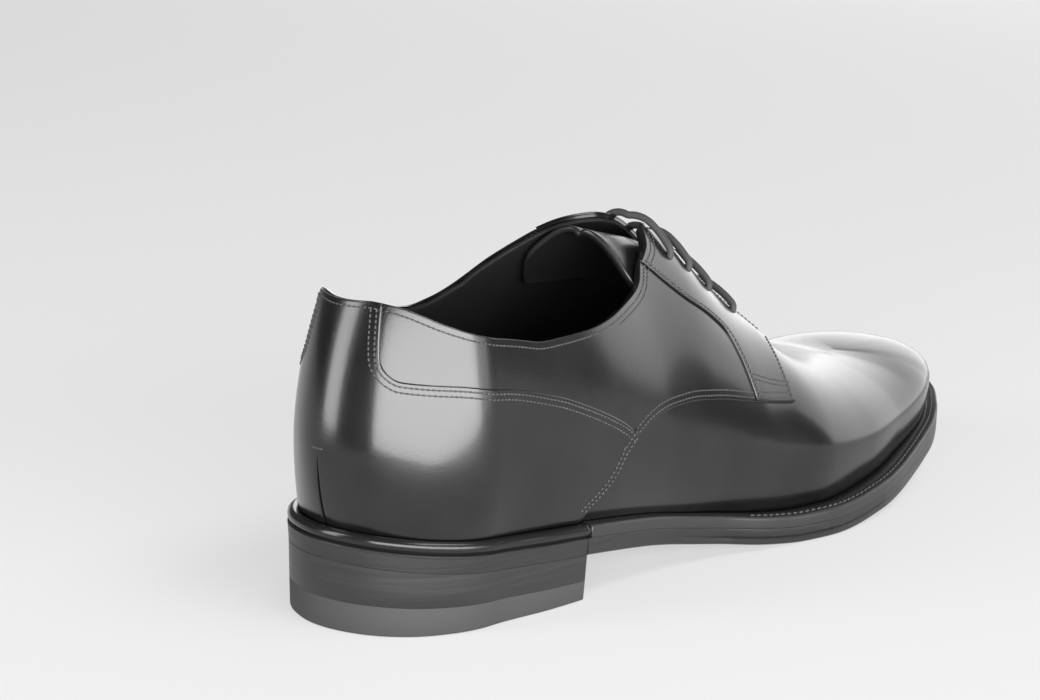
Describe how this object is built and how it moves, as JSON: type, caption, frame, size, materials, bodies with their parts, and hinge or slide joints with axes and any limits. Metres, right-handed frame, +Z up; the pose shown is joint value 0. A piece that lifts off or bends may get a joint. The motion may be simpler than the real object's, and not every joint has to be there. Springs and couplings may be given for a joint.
{
  "type": "derby shoe",
  "caption": "Right men's derby shoe with open lacing, heel counter overlay, plain vamp, welted leather sole and stacked heel, standing empty on a floor.",
  "frame": {"origin": "Middle of the shoe's bounding box seen from above, on the floor that heel and forefoot stand on.", "axes": "+X from heel to toe along the sole, +Y to the inner (big toe) side, +Z up. Metres."},
  "size_m": [0.2952, 0.1021, 0.1018],
  "materials": {
    "calf": "polished",
    "insole_leather": "matte",
    "sole_leather": "satin",
    "welt_leather": "satin",
    "heel_rubber": "matte",
    "lace_cotton": "matte"
  },
  "bodies": {
    "root": {"upper": "calf", "tongue": "calf", "insole": "insole_leather", "outsole": "sole_leather", "welt": "welt_leather", "heel_rand": "welt_leather", "heel_block": "sole_leather", "top_piece": "heel_rubber", "lace_bar_1": "lace_cotton", "lace_bar_2": "lace_cotton", "lace_bar_3": "lace_cotton", "lace_bar_4": "lace_cotton"}
  },
  "joints": []
}
